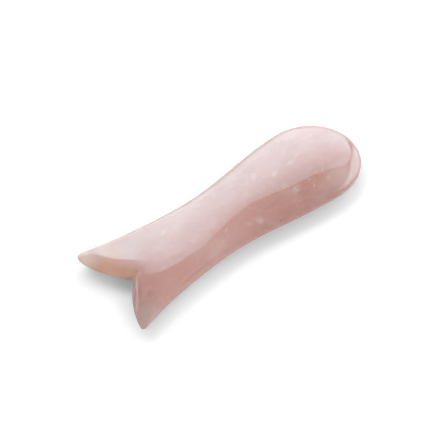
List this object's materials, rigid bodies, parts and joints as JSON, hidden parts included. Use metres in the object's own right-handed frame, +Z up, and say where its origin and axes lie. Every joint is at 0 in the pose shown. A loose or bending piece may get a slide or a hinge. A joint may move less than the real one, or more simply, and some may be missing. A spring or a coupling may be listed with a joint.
{
  "type": "gua sha scraper",
  "caption": "Fish-shaped massage scraper carved from one polished pink stone, with a broad round head, a slim waist and a forked tail whose notch follows the jaw or a finger.",
  "frame": {"origin": "centre of the overall box in X and Y, at the height of the surface that the stone rests on", "axes": "+X along the stone towards the round head, +Y across it, +Z up"},
  "size_m": [0.11, 0.0394, 0.0094],
  "materials": {
    "pink_stone": "translucent pink quartz, polished to a high gloss all over"
  },
  "bodies": {
    "root": {"stone": "pink_stone"}
  },
  "joints": []
}
